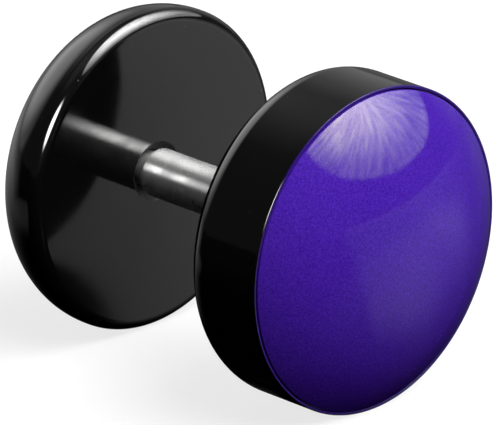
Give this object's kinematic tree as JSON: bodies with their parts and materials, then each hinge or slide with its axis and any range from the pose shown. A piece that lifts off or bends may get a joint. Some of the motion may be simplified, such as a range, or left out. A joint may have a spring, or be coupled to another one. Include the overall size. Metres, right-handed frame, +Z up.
{
  "type": "fake plug earring",
  "caption": "Fake plug ear stud: a glossy black cup with a purple domed inlay and a screw-on black back disc joined by a thin steel post.",
  "frame": {"origin": "bottom centre of the earring's bounding box, on the surface that both rims rest on", "axes": "+Y along the post from the domed front to the back disc, +Z up, +X across the discs"},
  "size_m": [0.008, 0.0108, 0.008],
  "materials": {
    "black_gloss": "polished black acrylic",
    "purple_resin": "clear gloss resin over purple",
    "steel": "polished surgical steel"
  },
  "bodies": {
    "earring": {"front_cup": "black_gloss", "dome_inlay": "purple_resin", "ear_post": "steel"},
    "screw_back": {"back_disc": "black_gloss"}
  },
  "joints": [
    {"name": "back_off", "type": "slide", "parent": "earring", "child": "screw_back", "axis": [0, 1, 0], "range_m": [0, 0.008]}
  ]
}
